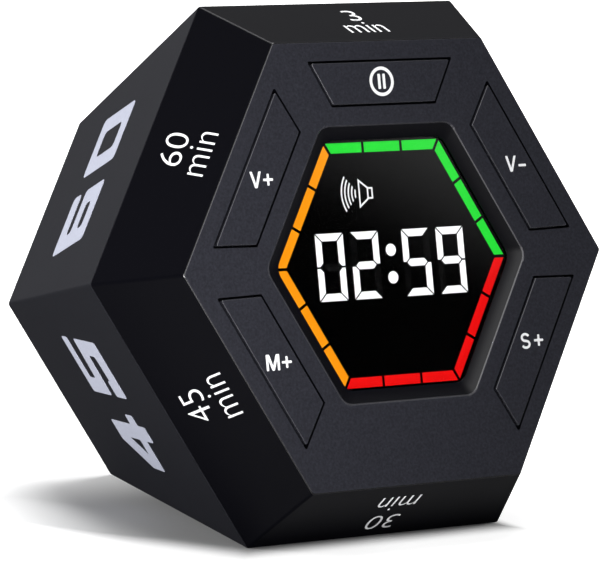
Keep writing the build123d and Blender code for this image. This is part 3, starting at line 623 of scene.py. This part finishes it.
# Small labels on the front chamfers: the number above, min below. The places are measured along the facet,
# from the middle of the seam edge
chamferLabel = {
    "numberHeight": 3.2,
    "digitWidth": 2.0,
    "digitGap": 0.55,
    "unitWidth": 6.1,
    "unitHeight": 3.2,
}
labelBoldness = {"60": -0.014, "45": -0.014, "3": -0.01, "30": -0.015, "10": -0.01, "5": -0.01}
minutes = {"3": 90, "60": 150, "45": 210, "30": 270, "10": 330, "5": 30}
numberPlace = {
    "60": (0.0, -4.3), "45": (0.05, -4.3), "3": (1.15, -4.3),
    "30": (0.8, -3.4), "10": (0.5, -4.0), "5": (0.9, -4.3),
}
unitPlace = {
    "60": (0.0, -8.05), "45": (0.05, -8.05), "3": (0.7, -8.05),
    "30": (0.8, -7.9), "10": (0.5, -8.0), "5": (0.9, -8.05),
}

for number, angle in minutes.items():
    placeBlockNumber("number" + number, number, angle)
    panel = facetPanel(angle, frontSlope, -1)
    numberWidth = len(number) * (chamferLabel["digitWidth"] + chamferLabel["digitGap"]) - chamferLabel["digitGap"]
    placeText(
        "label" + number, number, panel, "housing", labelInk,
        numberPlace[number], (numberWidth, chamferLabel["numberHeight"]), labelBoldness[number],
    )
    placeText(
        "unit" + number, "min", panel, "housing", labelInk,
        unitPlace[number], (chamferLabel["unitWidth"], chamferLabel["unitHeight"]), labelBoldness[number],
    )
print("numbers and labels printed")

# Key legends: each letter is drawn about its own middle
keyLegend = {
    "stroke": 0.32,
    "corner": 0.13,
    "plusWidth": 1.5,
    "minusWidth": 1.22,
    "curveSteps": 20,
}
pauseSymbol = {
    "place": (-0.165, 23.2),
    "outerRadius": 1.9,
    "stroke": 0.42,
    "barHeight": 1.95,
    "barWidth": 0.4,
    "barSpread": 0.38,
    "circleSteps": 64,
}
keyLetters = {
    "volume_up": ("V", (-20.97, 11.38), "+", (-19.1, 11.33)),
    "volume_down": ("V", (19.4, 11.82), "-", (21.2, 11.58)),
    "second": ("S", (19.15, -11.32), "+", (21.28, -11.34)),
    "minute": ("M", (-20.83, -11.6), "+", (-18.72, -11.66)),
}


def circleOutline(radius, steps):
    return [(radius * math.cos(2 * math.pi * i / steps), radius * math.sin(2 * math.pi * i / steps))
            for i in range(steps)]


def barOutline(middle, width, height):
    x, y = middle
    return [(x - width / 2, y - height / 2), (x + width / 2, y - height / 2),
            (x + width / 2, y + height / 2), (x - width / 2, y + height / 2)]


def ribbonOutline(path, width):
    # both sides of a smooth line, with the ends cut square
    left, right = [], []
    for i, point in enumerate(path):
        along = Vector(path[min(i + 1, len(path) - 1)]) - Vector(path[max(i - 1, 0)])
        across = Vector((-along.y, along.x)).normalized() * width / 2
        left.append(Vector(point) + across)
        right.append(Vector(point) - across)
    return left + right[::-1]


def ellipsePath(centre, radii, start, end, steps):
    angles = [math.radians(start + (end - start) * i / steps) for i in range(steps + 1)]
    return [(centre[0] + radii[0] * math.cos(a), centre[1] + radii[1] * math.sin(a)) for a in angles]


def letterOutline(letter):
    if letter == "S":
        steps = keyLegend["curveSteps"]
        path = ellipsePath((-0.02, 0.44), (0.56, 0.44), start=22, end=245, steps=steps)
        path += ellipsePath((0.02, -0.44), (0.58, 0.44), start=65, end=-158, steps=steps)
        return ribbonOutline(path, keyLegend["stroke"])
    half = keyLegend["plusWidth"] / 2
    bar = keyLegend["stroke"] / 2
    corners = {
        "V": [(-0.87, 1.05), (-0.5, 1.05), (0, -0.52), (0.5, 1.05), (0.87, 1.05), (0.18, -1.05), (-0.18, -1.05)],
        "M": [(-1.02, -1.03), (-1.02, 1.03), (-0.52, 1.03), (0, -0.42), (0.52, 1.03), (1.02, 1.03), (1.02, -1.03),
              (0.68, -1.03), (0.66, 0.35), (0.16, -1.03), (-0.16, -1.03), (-0.66, 0.35), (-0.68, -1.03)],
        "+": [(-bar, -half), (bar, -half), (bar, -bar), (half, -bar), (half, bar), (bar, bar),
              (bar, half), (-bar, half), (-bar, bar), (-half, bar), (-half, -bar), (-bar, -bar)],
        "-": barOutline((0, 0), keyLegend["minusWidth"], keyLegend["stroke"]),
    }
    return roundCorners(corners[letter], keyLegend["corner"])


for key, (letter, letterPlace, sign, signPlace) in keyLetters.items():
    outlines = [[(x + place[0], y + place[1]) for x, y in letterOutline(mark)]
                for mark, place in ((letter, letterPlace), (sign, signPlace))]
    name = key + "_legend"
    placeFilm(name, filmFromOutlines(name, outlines), keyPanel(), key + "_key", labelInk)

middle = pauseSymbol["place"]
rings = [circleOutline(r, pauseSymbol["circleSteps"])
         for r in (pauseSymbol["outerRadius"], pauseSymbol["outerRadius"] - pauseSymbol["stroke"])]
pauseOutlines = [[(x + middle[0], y + middle[1]) for x, y in ring] for ring in rings]
for side in (-1, 1):
    place = (middle[0] + side * pauseSymbol["barSpread"], middle[1])
    bar = barOutline(place, pauseSymbol["barWidth"], pauseSymbol["barHeight"])
    pauseOutlines.append(roundCorners(bar, keyLegend["corner"]))
pauseCurve = filmFromOutlines("pauseSymbol", pauseOutlines)
placeFilm("pauseSymbol", pauseCurve, keyPanel(), "pause_key", labelInk)
print("key legends printed")


# Stage: white floor, white surround behind, darker room in front, soft lamps
stageValues = {
    "floorRadius": 4.0,
    "floorSteps": 96,
    "floorRoughness": 0.9,
    "floorColor": 0.66,
    "floorBounce": 0.5,
    "floorBounceRight": 0.45,
    "floorMirrored": 0.015,
    "floorMirroredLift": 0.2,
    "floorPaintedLight": 0.85,
    "floorPaintedLightBehind": 0.42,
    "floorPaintedLightLeft": 0.2,
    "roomLight": 0.055,
    "skyLight": 0.5,
    "skyToward": (0.0, 0.2, 0.98),
    "skyFocus": 4.0,
    "backReflection": 0.2,
    "frontReflection": 0.43,
    "leftReflection": 2.7,
}
# Where the floor's painted light and its darker bounce colour on the left begin and end, in metres
floorEdges = {
    "bounceRight": (-0.035, -0.01),
    "before": (-0.0225, -0.0285),
    "corner": (0.036, 0.046),
    "cornerSlant": 0.75,
    "right": (0.0185, 0.022),
    "behind": (0.002, 0.024),
    "left": (-0.025, -0.034),
}
# Where the parts of the mirrored room begin and end, as the X, Y or Z of a direction
roomEdges = {
    "behind": (-0.1, 0.75),
    "behindSlant": 0.5,
    "panel": (0.774, 0.812),
    "panelSlant": 0.9,
    "panelForward": (-0.2, -0.6),
    "stripForward": (-0.5, -0.65),
    "stripHeight": (0.02, 0.14),
    "stripLeftward": (0.42, 0.3),
}


def lightPathMask(tree, labels):
    path = addNode(tree, "ShaderNodeLightPath")
    total = path.outputs[labels[0]]
    for label in labels[1:]:
        total = addMath(tree, "ADD", total, path.outputs[label], clamp=True)
    return total


def addSlant(tree, first, second, weight):
    return addMath(tree, "ADD", first, addMath(tree, "MULTIPLY", second, weight))


def makeFloor():
    points = [(x, y, 0) for x, y in circleOutline(stageValues["floorRadius"], stageValues["floorSteps"])]
    mesh = bpy.data.meshes.new("floor")
    mesh.from_pydata(points, [], [list(range(len(points)))])
    floor = bpy.data.objects.new("floor", mesh)
    bpy.context.scene.collection.objects.link(floor)
    material, tree, shader = newMaterial("paleFloor")
    path = addNode(tree, "ShaderNodeLightPath")
    viewed = lightPathMask(tree, ["Is Camera Ray", "Is Transmission Ray"])
    seen = addMath(tree, "MULTIPLY", viewed, stageValues["floorColor"])
    parts = addNode(tree, "ShaderNodeSeparateXYZ")
    tree.links.new(addNode(tree, "ShaderNodeTexCoord").outputs["Object"], parts.inputs[0])
    x, y = parts.outputs["X"], parts.outputs["Y"]
    # for bounced light the floor's colour is darker on the left, a painted shade standing in for the floor's
    # shadow there, so dull surfaces get a little less light back from it
    bounce = smoothRange(tree, x, *floorEdges["bounceRight"], stageValues["floorBounceRight"])
    bounce = addMath(tree, "ADD", bounce, stageValues["floorBounce"])
    bounce = addMath(tree, "MULTIPLY", path.outputs["Is Diffuse Ray"], bounce)
    tone = addMath(tree, "MAXIMUM", addMath(tree, "MAXIMUM", seen, bounce), stageValues["floorMirrored"])
    tree.links.new(tone, shader.inputs["Base Color"])
    # painted light: for the camera the floor glows where shadow would fall in front, on the right, behind and far
    # left, so that only the left overhang keeps a soft shadow; in front it also glows a little for reflections
    cornerward = addSlant(tree, addMath(tree, "MULTIPLY", x, -1.0), y, -floorEdges["cornerSlant"])
    before = smoothRange(tree, y, *floorEdges["before"], stageValues["floorPaintedLight"])
    lift = before
    for place, edge, level in (
        (cornerward, "corner", "floorPaintedLight"),
        (x, "right", "floorPaintedLight"),
        (y, "behind", "floorPaintedLightBehind"),
        (x, "left", "floorPaintedLightLeft"),
    ):
        lift = addMath(tree, "MAXIMUM", lift, smoothRange(tree, place, *floorEdges[edge], stageValues[level]))
    lift = addMath(tree, "MULTIPLY", lift, viewed)
    mirrored = addMath(tree, "MULTIPLY", path.outputs["Is Glossy Ray"], stageValues["floorMirroredLift"])
    lift = addMath(tree, "ADD", lift, addMath(tree, "MULTIPLY", before, mirrored))
    tree.links.new(lift, shader.inputs["Emission Strength"])
    shader.inputs["Emission Color"].default_value = (1, 1, 1, 1)
    shader.inputs["Roughness"].default_value = stageValues["floorRoughness"]
    shader.inputs["Specular IOR Level"].default_value = 0.0
    mesh.materials.append(material)


def makeWorld():
    world = bpy.data.worlds.new("studio")
    bpy.context.scene.world = world
    world.use_nodes = True
    tree = world.node_tree
    background = tree.nodes["Background"]
    where = addNode(tree, "ShaderNodeTexCoord").outputs["Generated"]
    parts = addNode(tree, "ShaderNodeSeparateXYZ")
    tree.links.new(where, parts.inputs[0])
    x, y, z = parts.outputs["X"], parts.outputs["Y"], parts.outputs["Z"]
    # what a shiny surface shows: a pale room behind, and in front a soft panel high on the right
    lowBehind = addSlant(tree, y, z, -roomEdges["behindSlant"])
    behind = smoothRange(tree, lowBehind, *roomEdges["behind"], stageValues["backReflection"])
    aside = addSlant(tree, z, x, roomEdges["panelSlant"])
    panel = smoothRange(tree, aside, *roomEdges["panel"], stageValues["frontReflection"])
    forward = smoothRange(tree, y, *roomEdges["panelForward"])
    # a strip light before the timer, which only the rounded edges and the right bevels of the window mirror
    strip = smoothRange(tree, y, *roomEdges["stripForward"], stageValues["leftReflection"])
    strip = addMath(tree, "MULTIPLY", strip, smoothRange(tree, z, *roomEdges["stripHeight"]))
    leftward = smoothRange(tree, x, *roomEdges["stripLeftward"])
    room = addMath(tree, "ADD", behind, addMath(tree, "MULTIPLY", panel, forward))
    room = addMath(tree, "ADD", room, addMath(tree, "MULTIPLY", strip, leftward))
    mirrored = addMath(tree, "MULTIPLY", lightPathMask(tree, ["Is Glossy Ray", "Is Transmission Ray"]), room)
    seen = addMath(tree, "MAXIMUM", lightPathMask(tree, ["Is Camera Ray"]), mirrored)
    # what lights a dull surface: an even room and a broad overhead softbox
    overhead = addNode(tree, "ShaderNodeVectorMath", operation="DOT_PRODUCT")
    tree.links.new(where, overhead.inputs[0])
    overhead.inputs[1].default_value = stageValues["skyToward"]
    height = addMath(tree, "MAXIMUM", overhead.outputs["Value"], 0.0)
    sky = addMath(tree, "POWER", height, stageValues["skyFocus"])
    sky = addMath(tree, "MULTIPLY", sky, stageValues["skyLight"])
    light = addMath(tree, "ADD", sky, stageValues["roomLight"])
    diffuse = addMath(tree, "MULTIPLY", lightPathMask(tree, ["Is Diffuse Ray"]), light)
    strength = addMath(tree, "MAXIMUM", seen, diffuse)
    tree.links.new(strength, background.inputs["Strength"])
    background.inputs["Color"].default_value = (1, 1, 1, 1)


# Far lamps: the direction to each, its level on a facing surface and the width of its disc in degrees
sunValues = {
    "keySun": {"toward": (0.12, 0.24, 0.96), "level": 1.3, "width": 34, "mirrored": True},
    "rightSun": {"toward": (0.97, 0.0, 0.24), "level": 0.35, "width": 16, "mirrored": False},
    "backSun": {"toward": (-0.8, 0.52, 0.2), "level": 0.62, "width": 16, "mirrored": False},
}
# A near lamp with a soft-edged beam, turned to the left half of the front
beamValues = {
    "place": (-0.2, -0.3, 0.02),
    "aim": (-0.055, -0.01, 0.035),
    "power": 6.3,
    "cone": 29.5,
    "softness": 1.0,
    "radius": 0.03,
}


def makeLamps():
    for name, values in sunValues.items():
        light = bpy.data.lights.new(name, "SUN")
        light.energy = values["level"] * math.pi
        light.angle = math.radians(values["width"])
        lamp = bpy.data.objects.new(name, light)
        lamp.rotation_mode = "QUATERNION"
        lamp.rotation_quaternion = (-Vector(values["toward"])).to_track_quat("-Z", "Y")
        lamp.visible_glossy = values["mirrored"]
        bpy.context.scene.collection.objects.link(lamp)
    beam = bpy.data.lights.new("leftBeam", "SPOT")
    beam.energy = beamValues["power"]
    beam.spot_size = math.radians(beamValues["cone"])
    beam.spot_blend = beamValues["softness"]
    beam.shadow_soft_size = beamValues["radius"]
    holder = bpy.data.objects.new("leftBeam", beam)
    holder.location = beamValues["place"]
    holder.rotation_mode = "QUATERNION"
    holder.rotation_quaternion = (Vector(beamValues["aim"]) - holder.location).to_track_quat("-Z", "Y")
    bpy.context.scene.collection.objects.link(holder)


cameraValues = {
    "place": (-0.349205, -0.492334, 0.138205),
    "aim": (-0.006329, -0.011608, 0.031723),
    "roll": 3.4642,
    "lens": 278.434,
    "sensor": 36.0,
}


def makeCamera():
    camera = bpy.data.cameras.new("camera")
    camera.lens = cameraValues["lens"]
    camera.sensor_width = cameraValues["sensor"]
    holder = bpy.data.objects.new("camera", camera)
    bpy.context.scene.collection.objects.link(holder)
    look = Vector(cameraValues["aim"]) - Vector(cameraValues["place"])
    turned = look.to_track_quat("-Z", "Y").to_matrix().to_4x4()
    turned = turned @ Matrix.Rotation(math.radians(cameraValues["roll"]), 4, "Z")
    turned.translation = cameraValues["place"]
    holder.matrix_world = turned
    bpy.context.scene.camera = holder


makeFloor()
makeWorld()
makeLamps()
makeCamera()
bpy.context.scene.view_settings.view_transform = "Standard"
print("stage, lamps and camera ready")
